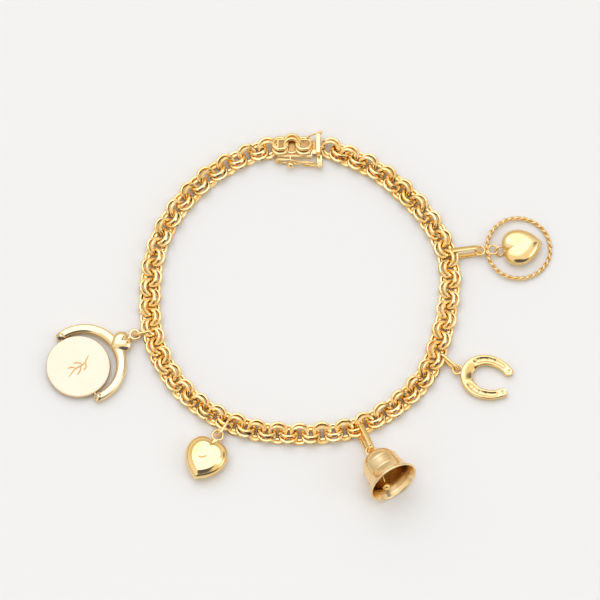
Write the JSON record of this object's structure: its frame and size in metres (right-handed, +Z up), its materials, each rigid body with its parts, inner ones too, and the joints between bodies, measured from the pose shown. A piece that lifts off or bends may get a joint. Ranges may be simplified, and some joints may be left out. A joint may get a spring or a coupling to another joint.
{
  "type": "charm bracelet",
  "caption": "Gold-coloured charm bracelet lying in a loop: double round-link chain, box clasp with safety latch, spinner disc, puffed hearts, bell, horseshoe and rope hoop.",
  "frame": {"origin": "middle of the bracelet's footprint on the surface it lies on", "axes": "+Z up from the table, +Y from the middle of the loop towards the clasp, +X to the right of someone who looks along +Y"},
  "size_m": [0.101, 0.077, 0.0096],
  "materials": {
    "polished_gold": "polished",
    "disc_gold": "satin",
    "cast_gold": "polished"
  },
  "bodies": {
    "bracelet": {"chain": "polished_gold", "clasp_box": "polished_gold", "clasp_tongue": "polished_gold", "spinner_ring": "polished_gold", "spinner_yoke": "polished_gold", "heart_ring": "polished_gold", "heart_charm": "polished_gold", "bell_bail": "polished_gold", "bell": "cast_gold", "horseshoe_bail": "polished_gold", "horseshoe": "cast_gold", "hoop_bail": "polished_gold", "rope_hoop": "polished_gold", "hoop_heart": "polished_gold"},
    "disc": {"spinner_disc": "disc_gold"},
    "latch": {"clasp_latch": "polished_gold"},
    "clapper": {"bell_clapper": "polished_gold"}
  },
  "joints": [
    {"name": "disc_spin", "type": "hinge", "parent": "bracelet", "child": "disc", "pos_m": [-0.04417, -0.01059, 0.00107], "axis": [0.515, -0.8572, 0], "continuous": true},
    {"name": "latch_swing", "type": "hinge", "parent": "bracelet", "child": "latch", "pos_m": [0.004, 0.03186, 0.00132], "axis": [0, 0, 1], "range_deg": [0, 115]},
    {"name": "clapper_swing", "type": "hinge", "parent": "bracelet", "child": "clapper", "pos_m": [0.01549, -0.03083, 0.00332], "axis": [-0.8231, -0.3789, 0.4231], "range_deg": [0, 60]}
  ]
}
